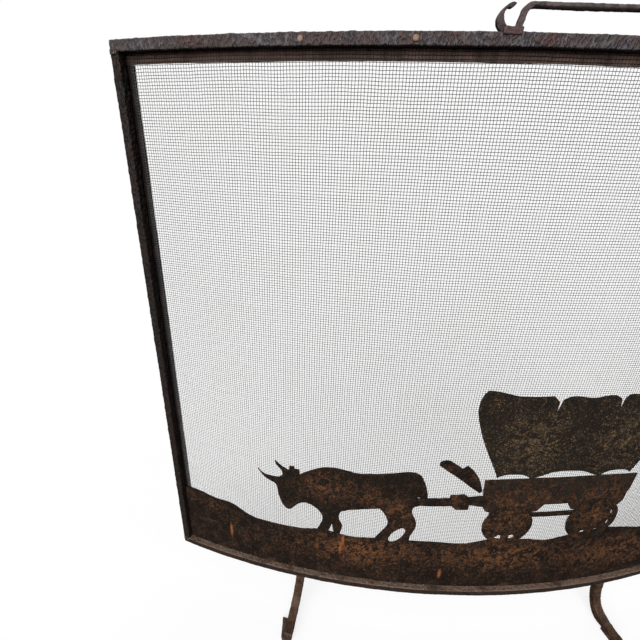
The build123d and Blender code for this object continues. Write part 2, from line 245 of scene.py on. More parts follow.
def forged_copy(node, voxel, smooth=3):
    """Dense, soft-edged copy of a CAD node, ready to be hammered."""
    shape = merged(node)
    mesh = bpy.data.meshes.new(node + "_forged")
    shape.to_mesh(mesh)
    shape.free()
    dummy = bpy.data.objects.new("dummy", mesh)
    bpy.context.scene.collection.objects.link(dummy)
    remesh = dummy.modifiers.new("remesh", "REMESH")
    remesh.mode = "VOXEL"
    remesh.voxel_size = voxel
    remesh.use_smooth_shade = True
    if smooth:
        relax = dummy.modifiers.new("relax", "SMOOTH")
        relax.factor = 0.5
        relax.iterations = smooth
    graph = bpy.context.evaluated_depsgraph_get()
    result = bpy.data.meshes.new_from_object(dummy.evaluated_get(graph), depsgraph=graph)
    bpy.data.objects.remove(dummy)
    result.shade_smooth()
    return result


# ---- Figures cut from sheet ----
OUTLINE_STEP = 1.5 * MM
FIELD_STEP = 2.8 * MM
CORNER_TURN = math.radians(22)


def front_outline(node):
    """Loops round the front face of a bent plate, metal on the left, as (along, height), and its depth."""
    shape = merged(node)
    points = np.array([v.co for v in shape.verts])
    along, height, depth = to_bow(points)
    front = depth.min()
    after = {}
    for face in shape.faces:
        ids = [v.index for v in face.verts]
        if max(depth[ids]) > front + 0.2 * MM:
            continue
        for a, b in zip(ids, ids[1:] + ids[:1]):
            after.setdefault(a, set()).add(b)
    shape.free()
    edge = {a: [b for b in ends if a not in after.get(b, ())] for a, ends in after.items()}
    edge = {a: ends[0] for a, ends in edge.items() if ends}
    loops = []
    while edge:
        first, corner = next(iter(edge.items()))
        del edge[first]
        loop = [first]
        while corner != first and corner in edge:
            loop.append(corner)
            corner = edge.pop(corner)
        loops.append(np.stack([along[loop], height[loop]], axis=1))
    return loops, front


def resampled(loop, step):
    """The same loop with even points, its corners kept."""
    before, after = np.roll(loop, 1, axis=0), np.roll(loop, -1, axis=0)
    turn_in = np.arctan2(*(loop - before).T[::-1])
    turn_out = np.arctan2(*(after - loop).T[::-1])
    turn = np.abs((turn_out - turn_in + math.pi) % (2 * math.pi) - math.pi)
    corners = np.flatnonzero(turn > CORNER_TURN)
    if len(corners) == 0:
        corners = np.array([0])
    loop = np.roll(loop, -corners[0], axis=0)
    corners = [*(corners - corners[0]), len(loop)]
    closed = np.vstack([loop, loop[:1]])
    points = []
    for a, b in zip(corners, corners[1:]):
        run = closed[a : b + 1]
        length = np.concatenate([[0], np.cumsum(np.linalg.norm(np.diff(run, axis=0), axis=1))])
        count = max(1, round(length[-1] / step))
        if len(corners) == 2:
            count = max(8, count)
        stops = np.linspace(0, length[-1], count + 1)[:-1]
        points.append(np.stack([np.interp(stops, length, run[:, k]) for k in (0, 1)], axis=1))
    return np.vstack(points)


def inside(points, loops):
    """Even-odd test of points against all loops."""
    odd = np.zeros(len(points), bool)
    for loop in loops:
        for (x0, y0), (x1, y1) in zip(loop, np.roll(loop, -1, axis=0)):
            if y0 == y1:
                continue
            crosses = (points[:, 1] > y0) != (points[:, 1] > y1)
            odd ^= crosses & (points[:, 0] < x0 + (points[:, 1] - y0) * (x1 - x0) / (y1 - y0))
    return odd


def cut_plate(node, seed, relief=0.3 * MM, edge_round=0.45 * MM, rough_edge=0.35 * MM):
    """Bent sheet piece with a forged face and softened, hand-cut edges, on a CAD node's outline."""
    loops, front = front_outline(node)
    loops = [resampled(loop, OUTLINE_STEP) for loop in loops if len(loop) > 2]
    rim = np.vstack(loops)
    ahead = np.vstack([np.roll(loop, -1, axis=0) - np.roll(loop, 1, axis=0) for loop in loops])
    ahead /= np.maximum(np.linalg.norm(ahead, axis=1, keepdims=True), 1e-9)
    outward = np.stack([ahead[:, 1], -ahead[:, 0]], axis=1)

    low, high = rim.min(0), rim.max(0)
    rng = np.random.default_rng(seed)
    columns = np.arange(low[0], high[0], FIELD_STEP)
    rows = np.arange(low[1], high[1], FIELD_STEP * 0.87)
    field = np.array([(x + (j % 2) * FIELD_STEP / 2, y) for j, y in enumerate(rows) for x in columns])
    field += rng.uniform(-0.2, 0.2, field.shape) * FIELD_STEP
    field = field[inside(field, loops)]
    gap = np.full(len(field), 9.0)
    for point in rim:
        gap = np.minimum(gap, ((field - point) ** 2).sum(1))
    field = field[gap > (0.8 * OUTLINE_STEP) ** 2]

    flat = np.vstack([rim, field])
    edges, used = [], 0
    for loop in loops:
        ids = np.arange(used, used + len(loop))
        edges += list(zip(ids.tolist(), np.roll(ids, -1).tolist()))
        used += len(loop)
    made = delaunay_2d_cdt([tuple(p) for p in flat / MM], edges, [], 0, 1e-4)
    source = [ids[0] if ids else -1 for ids in made[3]]
    triangles = np.array([[source[i] for i in face] for face in made[2]])
    triangles = triangles[(triangles >= 0).all(1)]
    triangles = triangles[inside(flat[triangles].mean(1), loops)]
    a, b, c = (flat[triangles[:, k]] for k in range(3))
    wrong = (b - a)[:, 0] * (c - a)[:, 1] - (b - a)[:, 1] * (c - a)[:, 0] < 0
    triangles[wrong] = triangles[wrong][:, ::-1]

    solid = np.stack([flat[:, 0], flat[:, 1], np.full(len(flat), front)], axis=1)
    relief_depth = relief * (0.6 * noise(solid, 7 * MM, seed) + 0.4 * noise(solid, 3 * MM, seed + 1))
    relief_depth += relief * (hammer_marks(solid, 9 * MM, seed + 2) - 0.3)
    count = len(rim)
    wobble = rough_edge * noise(solid[:count], 5 * MM, seed + 3)[:, None]
    edge = rim + outward * wobble
    face = np.vstack([edge - outward * edge_round, field])
    back = np.vstack([edge - outward * edge_round / 2, field])
    rings = [
        to_world(face[:, 0], face[:, 1], front + np.maximum(relief_depth, -relief) + relief / 2),
        to_world(edge[:, 0], edge[:, 1], front + edge_round + relief / 2),
        to_world(edge[:, 0], edge[:, 1], front + SHEET - edge_round / 2),
        to_world(back[:, 0], back[:, 1], front + SHEET),
    ]
    starts = np.cumsum([0] + [len(ring) for ring in rings])
    faces = [tuple(t) for t in triangles + starts[0]]
    faces += [tuple(t[::-1]) for t in triangles + starts[3]]
    for one, other in zip(starts[:3], starts[1:4]):
        faces += [(other + i, other + j, one + j, one + i) for i, j in edges]
    mesh = bpy.data.meshes.new(node + "_cut")
    mesh.from_pydata(np.vstack(rings).tolist(), [], faces)
    mesh.update(calc_edges=True)
    mesh.validate()
    mesh.shade_smooth()
    return mesh


# ---- Woven wire cloth ----
SIDE_STRIP_EDGE = -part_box("left_strip")[0].x - 13 * MM  # where the wires darken over the side strips
TOP_STRIP_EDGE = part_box("top_strip")[0].z
WIRE = 0.56 * MM
PITCH_ALONG = 3.175 * MM
PITCH_UP = 3.04 * MM
EDGE_INSET = 1 * MM


def tubes(centres, side, other):
    """Four-sided tubes: centres[n, m] of each wire, side and other the two half-width directions."""
    wires, stops = centres.shape[:2]
    corners = np.stack([centres + side, centres + other, centres - side, centres - other], axis=2)
    index = np.arange(wires * stops * 4).reshape(wires, stops, 4)
    after = np.roll(index, -1, axis=2)
    quads = np.stack([index[:, :-1], after[:, :-1], after[:, 1:], index[:, 1:]], axis=-1)
    return corners.reshape(-1, 3), quads.reshape(-1, 4)


def wire_cloth():
    """Plain-woven wire cloth: each wire passes over one crossing wire and under the next."""
    low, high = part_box("mesh_panel")[0].z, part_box("mesh_panel")[1].z
    half = HALF_ARC - EDGE_INSET
    columns = np.arange(-half, half, PITCH_ALONG) + PITCH_ALONG / 2
    rows = np.arange(low, high, PITCH_UP) + PITCH_UP / 2
    rng = np.random.default_rng(5)
    columns = columns + rng.normal(0, 0.1 * MM, len(columns))
    rows = rows + rng.normal(0, 0.1 * MM, len(rows))
    columns, rows = columns[abs(columns) < half], rows[rows < high]
    along, height = np.meshgrid(columns, rows, indexing="ij")
    spots = np.stack([along.ravel(), height.ravel(), np.zeros(along.size)], axis=1)
    along = along + 0.55 * MM * noise(spots, 55 * MM, 11).reshape(along.shape)
    along += 0.22 * MM * noise(spots, 9 * MM, 12).reshape(along.shape)
    height = height + 0.5 * MM * noise(spots, 55 * MM, 13).reshape(along.shape)
    height += 0.2 * MM * noise(spots, 9 * MM, 14).reshape(along.shape)
    parity = np.where(np.add.outer(np.arange(len(columns)), np.arange(len(rows))) % 2 == 0, 1, -1)
    middle = BAR_DEPTH + MESH_THICKNESS / 2
    half_wire = WIRE / 2

    def grid(sign):
        return to_world(along, height, middle + sign * parity * half_wire)

    def towards_axis(points):
        inward = np.stack([-points[..., 0], AXIS_Y - points[..., 1], np.zeros(points.shape[:-1])], axis=-1)
        return inward / np.linalg.norm(inward, axis=-1, keepdims=True) * half_wire

    upright = grid(1)
    inward = towards_axis(upright)
    sideways = np.stack([-inward[..., 1], inward[..., 0], inward[..., 2]], axis=-1)
    points_up, quads_up = tubes(upright, sideways, inward)
    level = grid(-1).transpose(1, 0, 2)
    inward = towards_axis(level)
    points_level, quads_level = tubes(level, np.array([0, 0, half_wire]) + 0 * level, inward)
    points = np.vstack([points_up, points_level])
    mesh = make_mesh("wire_cloth", points, np.vstack([quads_up, quads_level + len(points_up)]))
    corners = np.empty(len(mesh.loops), np.int32)
    mesh.loops.foreach_get("vertex_index", corners)
    place = np.stack(to_bow(points)[:2], axis=1)
    place = (place - place.min(0)) / (place.max(0) - place.min(0))
    mesh.uv_layers.new(name="OFBake").data.foreach_set("uv", place[corners].astype(np.float32).ravel())
    return mesh


# ---- Rivets ----
def loose_solids(node):
    """Corner points of each separate solid in a CAD node."""
    shape = merged(node)
    left = set(shape.verts)
    solids = []
    while left:
        queue, found = [left.pop()], []
        while queue:
            vert = queue.pop()
            found.append(vert.co.copy())
            for edge in vert.link_edges:
                other = edge.other_vert(vert)
                if other in left:
                    left.remove(other)
                    queue.append(other)
        solids.append(np.array(found))
    shape.free()
    return solids


def rivet_head(along, height, depth, radius, rise, facing, rng):
    """Hammered rivet head: rings of points from rim to crown, facing the front (-1) or the back (1)."""
    rings, spokes = 6, 20
    points = []
    for i in range(rings):
        lift = math.sin(i / (rings - 1) * math.pi / 2)
        reach = radius * math.cos(i / (rings - 1) * math.pi / 2 * 0.93)
        turn = np.linspace(0, 2 * math.pi, spokes, endpoint=False)
        uneven = 1 + 0.07 * np.sin(2 * turn + rng.uniform(0, 6)) + rng.normal(0, 0.025, spokes)
        points.append(
            to_world(
                along + reach * uneven * np.cos(turn),
                height + reach * uneven * np.sin(turn),
                depth + facing * rise * (lift * 0.9 + 0.1) * (1 + rng.normal(0, 0.04, spokes)),
            )
        )
    return np.array(points)


def rivet_mesh(name, node, rise, seed):
    """All rivets of a node: a domed head in front and another behind."""
    rng = np.random.default_rng(seed)
    verts, faces = [], []
    for solid in loose_solids(node):
        along, height, depth = to_bow(solid)
        radius = (height.max() - height.min()) / 2
        spot = ((along.max() + along.min()) / 2, (height.max() + height.min()) / 2)
        for level, facing in ((depth.min() + rise, -1), (depth.max() - rise, 1)):
            head = rivet_head(*spot, level, radius, rise, facing, rng)
            rings, spokes = head.shape[:2]
            base = len(verts)
            verts += head.reshape(-1, 3).tolist()
            for i in range(rings - 1):
                for j in range(spokes):
                    k = (j + 1) % spokes
                    quad = [base + i * spokes + j, base + i * spokes + k]
                    quad += [base + (i + 1) * spokes + k, base + (i + 1) * spokes + j]
                    faces.append(quad if facing < 0 else quad[::-1])
            crown = [base + (rings - 1) * spokes + j for j in range(spokes)]
            under = [base + j for j in range(spokes)]
            faces.append(crown if facing < 0 else crown[::-1])
            faces.append(under[::-1] if facing < 0 else under)
    mesh = bpy.data.meshes.new(name)
    mesh.from_pydata(verts, [], faces)
    mesh.update(calc_edges=True)
    mesh.shade_smooth()
    return mesh


# ---- Materials ----
def srgb(r, g, b):
    """Linear colour from 0-255 display values."""
    return [((c / 255 + 0.055) / 1.055) ** 2.4 if c > 10 else c / 255 / 12.92 for c in (r, g, b)] + [1.0]


class Surface:
    """A node material that is built up one node at a time."""

    def __init__(self, name):
        self.material = bpy.data.materials.new(name)
        self.material.use_nodes = True
        self.tree = self.material.node_tree
        self.shader = self.tree.nodes["Principled BSDF"]
        coordinates = self.node("ShaderNodeTexCoord")
        self.place, self.normal = coordinates.outputs["Object"], coordinates.outputs["Normal"]

    def node(self, kind, inputs=None, **settings):
        made = self.tree.nodes.new(kind)
        for key, value in settings.items():
            setattr(made, key, value)
        for key, value in (inputs or {}).items():
            self.put(made.inputs[key], value)
        return made

    def put(self, socket, value):
        if isinstance(value, bpy.types.NodeSocket):
            self.tree.links.new(value, socket)
        else:
            socket.default_value = value

    def noise(self, size, detail=4.0, rough=0.55, warp=0.0, place=None):
        """Noise from 0 to 1 with lumps about size across."""
        made = self.node(
            "ShaderNodeTexNoise",
            {"Vector": place or self.place, "Scale": 1 / size, "Detail": detail, "Roughness": rough,
             "Distortion": warp},
        )
        return made.outputs["Fac"]

    def vector_math(self, operation, *values):
        return self.node("ShaderNodeVectorMath", dict(enumerate(values)), operation=operation).outputs[0]

    def wander(self, size, spread):
        """Vector noise, about spread either way."""
        made = self.node("ShaderNodeTexNoise", {"Vector": self.place, "Scale": 1 / size, "Detail": 2.0})
        centred = self.vector_math("SUBTRACT", made.outputs["Color"], (0.5, 0.5, 0.5))
        scaled = self.node("ShaderNodeVectorMath", {0: centred, 3: 2 * spread}, operation="SCALE")
        return scaled.outputs[0]

    def stretched(self, x, y, z):
        return self.vector_math("MULTIPLY", self.place, (x, y, z))

    def math(self, operation, a, b=0.5, c=0.5):
        return self.node("ShaderNodeMath", {0: a, 1: b, 2: c}, operation=operation).outputs[0]

    def span(self, value, low, high, to_low=0.0, to_high=1.0):
        """Maps low..high to to_low..to_high, smoothly and clamped."""
        made = self.node(
            "ShaderNodeMapRange",
            {"Value": value, "From Min": low, "From Max": high, "To Min": to_low, "To Max": to_high},
            interpolation_type="SMOOTHSTEP",
        )
        return made.outputs[0]

    def mix(self, factor, a, b):
        made = self.node("ShaderNodeMix", data_type="RGBA")
        self.put(made.inputs[0], factor)
        self.put(made.inputs[6], a)
        self.put(made.inputs[7], b)
        return made.outputs[2]

    def spot(self, centre, size, ragged=0.0):
        """1 at a place, falling to 0 at size round it; a size of 0 means any distance that way."""
        off = self.vector_math("SUBTRACT", self.place, centre)
        off = self.vector_math("MULTIPLY", off, [1 / s if s else 0 for s in size])
        far = self.node("ShaderNodeVectorMath", {0: off}, operation="LENGTH").outputs[1]
        if ragged:
            far = self.math("MULTIPLY_ADD", self.noise(12 * MM, 5, 0.6), ragged, far)
            far = self.math("SUBTRACT", far, ragged / 2)
        return self.span(far, 0.0, 1.0, 1.0, 0.0)

    def finish(self, colour, rough, bump=(), metallic=0.0, specular=0.3):
        self.put(self.shader.inputs["Base Color"], colour)
        self.put(self.shader.inputs["Roughness"], rough)
        self.put(self.shader.inputs["Metallic"], metallic)
        self.put(self.shader.inputs["Specular IOR Level"], specular)
        normal = None
        for height, distance in bump:
            made = self.node("ShaderNodeBump", {"Height": height, "Distance": distance, "Strength": 1.0})
            if normal is not None:
                self.put(made.inputs["Normal"], normal)
            normal = made.outputs[0]
        if normal is not None:
            self.put(self.shader.inputs["Normal"], normal)
        return self.material


def worn_ridges(s, size, turn, stretch):
    """1 on the worn ridges between slanted hammer dents, 0 in the dents."""
    wavy = s.vector_math("ADD", s.place, s.wander(14 * MM, 3 * MM))
    slanted = s.node(
        "ShaderNodeMapping",
        {"Vector": wavy, "Rotation": (0, turn, 0), "Scale": (stretch, 1, 1)},
    ).outputs[0]
    cells = s.node("ShaderNodeTexVoronoi", {"Vector": slanted, "Scale": 1 / size}, feature="F1")
    return s.span(cells.outputs["Distance"], 0.25, 0.75)


def hammered_iron(name, dent, face, ridge, rust, rust_share, dust_and_top_light=None, patches=()):
    """Forged bar: dark dents, worn ridges, a share of brown oxide, upper faces lighter with dust and a
    painted highlight, red patches.
    """
    s = Surface(name)
    worn = worn_ridges(s, 4.2 * MM, math.radians(42), 2.1)
    broad = s.noise(45 * MM, 4, 0.6)
    blotch = s.noise(8 * MM, 6, 0.65, 0.6)
    grit = s.noise(1.5 * MM, 5, 0.7)
    colour = s.mix(s.span(blotch, 0.36, 0.6), dent, face)
    colour = s.mix(s.math("MULTIPLY", worn, s.span(grit, 0.3, 0.6)), colour, ridge)
    share = 0.75 - 0.5 * rust_share
    spread = s.math("MULTIPLY_ADD", blotch, 0.4, s.math("MULTIPLY", broad, 0.6))
    rusty = s.span(spread, share - 0.1, share + 0.02)
    colour = s.mix(s.math("MULTIPLY", rusty, 0.85), colour, rust)
    # Upward-facing faces are lightened: partly dust streaks, partly a painted highlight where light falls
    # from above.
    if dust_and_top_light:
        facing = s.node("ShaderNodeSeparateXYZ", {0: s.normal}).outputs[2]
        streaks = s.noise(9 * MM, 5, 0.6, 0.2, s.stretched(0.3, 0.3, 1))
        dust_and_top_light_mask = s.math("MULTIPLY", s.span(facing, 0.3, 0.65), s.span(streaks, 0.25, 0.45, 0.7, 1.0))
        colour = s.mix(dust_and_top_light_mask, colour, s.mix(s.span(streaks, 0.5, 0.72, 0.0, 0.8), dust_and_top_light, rust))
    for centre, size in patches:
        spot = s.math("MULTIPLY", s.spot(centre, size, 0.8), s.span(blotch, 0.4, 0.55))
        colour = s.mix(s.math("MULTIPLY", spot, 0.75), colour, srgb(92, 54, 48))
    colour = s.mix(s.span(grit, 0.6, 0.72, 0.0, 0.6), colour, srgb(26, 21, 20))
    colour = s.mix(s.span(grit, 0.34, 0.26, 0.0, 0.55), colour, ridge)
    rough = s.span(blotch, 0.3, 0.7, 0.5, 0.74)
    return s.finish(colour, rough, [(worn, 1.1 * MM), (blotch, 0.7 * MM), (grit, 0.45 * MM)], 0.1)


def strip_iron(name, light, dark, grain):
    """Flat strip: dull brown oxide over dark scale, with upright drips."""
    s = Surface(name)
    drips = s.noise(7 * MM, 5, 0.6, 0.3, s.stretched(1, 1, 0.2))
    blotch = s.noise(26 * MM, 5, 0.6)
    grit = s.noise(1.4 * MM, 5, 0.7)
    colour = s.mix(s.span(blotch, 0.38, 0.62), light, dark)
    colour = s.mix(s.span(drips, 0.5, 0.68, 0.0, 0.6), colour, srgb(46, 39, 37))
    colour = s.mix(s.span(grit, 0.6, 0.72, 0.0, 0.5), colour, grain)
    return s.finish(colour, s.span(drips, 0.3, 0.7, 0.65, 0.85), [(grit, 0.3 * MM)])


def cloth_iron():
    """Wire: dulled dark grey, browner in patches, paler low down as painted light of the bright backdrop,
    dark where it lies on the strips.
    """
    s = Surface("cloth_iron")
    stain = s.noise(70 * MM, 4, 0.6)
    fine = s.noise(5 * MM, 4, 0.6)
    colour = s.mix(s.span(stain, 0.42, 0.6), srgb(100, 100, 104), srgb(98, 94, 91))
    colour = s.mix(s.span(fine, 0.5, 0.7, 0.0, 0.6), colour, srgb(50, 47, 46))
    height = s.node("ShaderNodeSeparateXYZ", {0: s.place}).outputs[2]
    # Painted light: the wires are lightened low down, standing in for the bright haze behind them.
    pale = s.math("MULTIPLY", s.span(height, 0.42, 0.24, 0.0, 0.7), s.span(fine, 0.6, 0.3, 0.5, 1.0))
    colour = s.mix(pale, colour, srgb(152, 148, 144))
    across = s.node("ShaderNodeSeparateXYZ", {0: s.place}).outputs[0]
    side = s.span(s.math("ABSOLUTE", across), SIDE_STRIP_EDGE - 2 * MM, SIDE_STRIP_EDGE + 2 * MM)
    top = s.span(height, TOP_STRIP_EDGE - 1 * MM, TOP_STRIP_EDGE + 1 * MM)
    colour = s.mix(top, colour, srgb(66, 48, 42))
    colour = s.mix(side, colour, srgb(30, 24, 22))
    return s.finish(colour, s.span(fine, 0.3, 0.7, 0.45, 0.65), metallic=0.2)


RUST = srgb(62, 45, 34), srgb(92, 62, 42), srgb(134, 84, 48)


def sheet_iron(name, base, rust_level, blooms=(), streaks=(), rust=RUST):
    """Cut sheet: black-olive scale under a fine brown speckle, thicker and redder where a bloom is set."""
    s = Surface(name)
    cloud = s.noise(24 * MM, 6, 0.62, 0.5)
    speck = s.noise(3.4 * MM, 8, 0.8, 0.4)
    vein = s.noise(12 * MM, 7, 0.72, 0.8)
    grit = s.noise(1.0 * MM, 6, 0.75)
    wear = s.span(cloud, 0.36, 0.66, rust_level * 0.3, rust_level)
    for centre, size, strength in blooms:
        wear = s.math("MAXIMUM", wear, s.math("MULTIPLY", s.spot(centre, size, 1.1), strength))
    wear = s.math("MULTIPLY", wear, s.span(vein, 0.42, 0.56, 0.15, 1.2))
    pattern = s.math("MULTIPLY_ADD", grit, 0.3, s.math("MULTIPLY", speck, 0.7))
    level = s.math("MULTIPLY_ADD", wear, 0.15, pattern)
    colour = s.mix(s.span(cloud, 0.4, 0.62), base, srgb(27, 24, 20))
    for tone, low, high in zip(rust, (0.54, 0.62, 0.69), (0.6, 0.67, 0.74)):
        colour = s.mix(s.span(level, low, high, 0.0, 0.95), colour, tone)
    fleck = s.noise(1.9 * MM, 3, 0.6, 0.3)
    flecks = s.math("MULTIPLY", s.span(wear, 0.1, 0.7, 0.25, 0.9), s.span(fleck, 0.58, 0.64))
    colour = s.mix(flecks, colour, rust[2])
    for centre, size in streaks:
        line = s.math("MULTIPLY", s.spot(centre, size, 0.5), s.span(speck, 0.36, 0.5))
        colour = s.mix(s.math("MULTIPLY", line, 1.6), colour, srgb(146, 90, 52))
    colour = s.mix(s.span(grit, 0.36, 0.3, 0.0, 0.8), colour, srgb(24, 21, 19))
    colour = s.mix(s.span(grit, 0.68, 0.74, 0.0, 0.6), colour, srgb(158, 136, 112))
    rough = s.span(level, 0.45, 0.7, 0.6, 0.9)
    return s.finish(colour, rough, [(level, 1.0 * MM), (grit, 0.4 * MM)], specular=0.15)


def forged_iron(name, light, dark, rust, under=None):
    """Forged bar of the handle and legs: blotches of scale with thin rust, and painted shade on its
    undersides when an under colour is given.
    """
    s = Surface(name)
    broad = s.noise(14 * MM, 5, 0.6, 0.5)
    speck = s.noise(2.4 * MM, 7, 0.7)
    colour = s.mix(s.span(broad, 0.38, 0.62), light, dark)
    colour = s.mix(s.span(speck, 0.5, 0.66, 0.0, 0.7), colour, rust)
    colour = s.mix(s.span(speck, 0.44, 0.34, 0.0, 0.8), colour, srgb(34, 26, 24))
    # Painted shade: downward-facing faces are darkened towards the under colour.
    if under:
        facing = s.node("ShaderNodeSeparateXYZ", {0: s.normal}).outputs[2]
        colour = s.mix(s.span(facing, 0.1, -0.35, 0.0, 0.8), colour, under)
    return s.finish(colour, s.span(speck, 0.3, 0.7, 0.5, 0.78), [(broad, 0.4 * MM), (speck, 0.5 * MM)], 0.1)


def rivet_iron(name, crown, rim, bare=()):
    """Rivet heads, those at bare places rubbed down to pale metal."""
    s = Surface(name)
    speck = s.noise(1.6 * MM, 5, 0.65)
    colour = s.mix(s.span(speck, 0.4, 0.62), crown, rim)
    for centre in bare:
        colour = s.mix(s.spot(centre, (8 * MM,) * 3), colour, srgb(164, 136, 114))
    colour = s.mix(s.span(speck, 0.6, 0.7, 0.0, 0.7), colour, srgb(60, 46, 40))
    return s.finish(colour, s.span(speck, 0.3, 0.7, 0.5, 0.75), [(speck, 0.3 * MM)], 0.1)


def weld_iron(name, light, dark, chipped):
    """Weld metal with pale chips over a share of it."""
    s = Surface(name)
    chip = s.noise(3 * MM, 4, 0.5)
    speck = s.noise(1.2 * MM, 5, 0.65)
    colour = s.mix(s.span(speck, 0.4, 0.6), light, dark)
    colour = s.mix(s.span(chip, 0.7 - chipped, 0.76 - chipped), colour, srgb(172, 150, 126))
    return s.finish(colour, s.span(speck, 0.3, 0.7, 0.5, 0.7), [(speck, 0.4 * MM)], 0.1)


# ---- Camera, at the viewing angle of the front three-quarter view from above ----
def add_camera():
    data = bpy.data.cameras.new("camera")
    data.sensor_width = 36
    data.lens = 22.546
    data.clip_start, data.clip_end = 0.01, 50
    camera = bpy.data.objects.new("camera", data)
    yaw, pitch, roll = (math.radians(a) for a in (-0.481, 23.696, 1.804))
    right = np.array([math.cos(yaw), math.sin(yaw), 0])
    ahead = np.array([-math.sin(yaw) * math.cos(pitch), math.cos(yaw) * math.cos(pitch), -math.sin(pitch)])
    up = np.cross(right, ahead)
    c, s = math.cos(roll), math.sin(roll)
    columns = np.array([c * right + s * up, -s * right + c * up, -ahead]).T
    spot = Matrix.Translation((-0.23223, rail_low.y - 0.40745, 0.72585))
    camera.matrix_world = spot @ Matrix(columns).to_4x4()
    bpy.context.scene.collection.objects.link(camera)
    bpy.context.scene.camera = camera


add_camera()

# ---- The frame ----
def at(x, height, depth=8):
    """Place in the row frame from millimetres: across, above the frame's foot, and deep."""
    along = RADIUS * math.asin(x * MM / RADIUS)
    return tuple(to_world(along, FRAME_FOOT + height * MM, depth * MM))


def oval(wide, tall):
    return (wide * MM, 0, tall * MM)


# The rails and stiles are one iron in lit and shaded copies: a painted sheen on the top rail, painted shade
# on the stiles, the bottom rail in between.
top_iron_painted_sheen = hammered_iron(
    "top_iron_painted_sheen", srgb(58, 53, 54), srgb(80, 74, 78), srgb(112, 104, 108), srgb(84, 70, 65), 0.4,
    srgb(96, 84, 80),
    [(at(-362, 737, 0), oval(12, 9)), (at(-38, 737, 0), oval(16, 9)), (at(-120, 737, 0), oval(9, 6))],
)
stile_iron_painted_shade = hammered_iron(
    "stile_iron_painted_shade", srgb(14, 12, 12), srgb(27, 23, 22), srgb(56, 48, 46), srgb(50, 36, 30), 0.4,
)
bottom_iron = hammered_iron(
    "bottom_iron", srgb(30, 24, 21), srgb(44, 35, 31), srgb(66, 54, 47), srgb(58, 41, 32), 0.45,
    srgb(130, 108, 94),
    [(at(-131, 11, 4), oval(9, 9)), (at(40, 11, 4), oval(14, 9))],
)
strip = strip_iron("strip_iron", srgb(112, 92, 82), srgb(84, 68, 60), srgb(112, 84, 62))
# Painted shade: the side strips are the strip iron in darker colours.
shaded_side_strip = strip_iron("side_strip_iron", srgb(58, 46, 43), srgb(34, 28, 27), srgb(74, 56, 46))
DENT, DENT_SPACING = 0.5 * MM, 4.8 * MM

rails = ("top_rail", top_iron_painted_sheen, DENT), ("bottom_rail", bottom_iron, DENT / 2)
for seed, (node, iron, depth) in enumerate(rails):
    low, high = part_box(node)
    mesh = bow_bar(node + "_forged", low.z, high.z, -HALF_ARC, HALF_ARC, 0, BAR_DEPTH)
    hammer(mesh, depth, DENT_SPACING, 20 + seed)
    add_piece(node + "_bar", mesh, iron, "hammered_bar", node)
for seed, (node, side) in enumerate((("left_stile", -1), ("right_stile", 1))):
    low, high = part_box(node)
    start, end = sorted((side * HALF_ARC, side * (HALF_ARC - BAR_WIDTH)))
    mesh = upright_bar(node + "_forged", low.z, high.z, start, end, 0, BAR_DEPTH)
    hammer(mesh, DENT, DENT_SPACING, 30 + seed)
    add_piece(node + "_bar", mesh, stile_iron_painted_shade, "hammered_bar", node)

strip_end = HALF_ARC - EDGE_INSET
for seed, node in enumerate(("top_strip", "bottom_strip")):
    low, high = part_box(node)
    mesh = bow_bar(node + "_flat", low.z, high.z, -strip_end, strip_end, STRIP_DEPTH, STRIP_THICKNESS,
                   0.6 * MM, 1.6 * MM)
    hammer(mesh, 0.2 * MM, 8 * MM, 40 + seed)
    add_piece(node + "_iron", mesh, strip, "flat_strip", node)
for seed, (node, side) in enumerate((("left_strip", -1), ("right_strip", 1))):
    low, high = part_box(node)
    start, end = sorted((side * strip_end, side * (strip_end - SIDE_STRIP_WIDTH)))
    mesh = upright_bar(node + "_flat", low.z, high.z, start, end, STRIP_DEPTH, STRIP_THICKNESS,
                       0.6 * MM, 1.6 * MM)
    hammer(mesh, 0.2 * MM, 8 * MM, 50 + seed)
    add_piece(node + "_iron", mesh, shaded_side_strip, "flat_strip", node)

add_piece("wire_cloth", wire_cloth(), cloth_iron(), "wire_cloth", "mesh_panel")

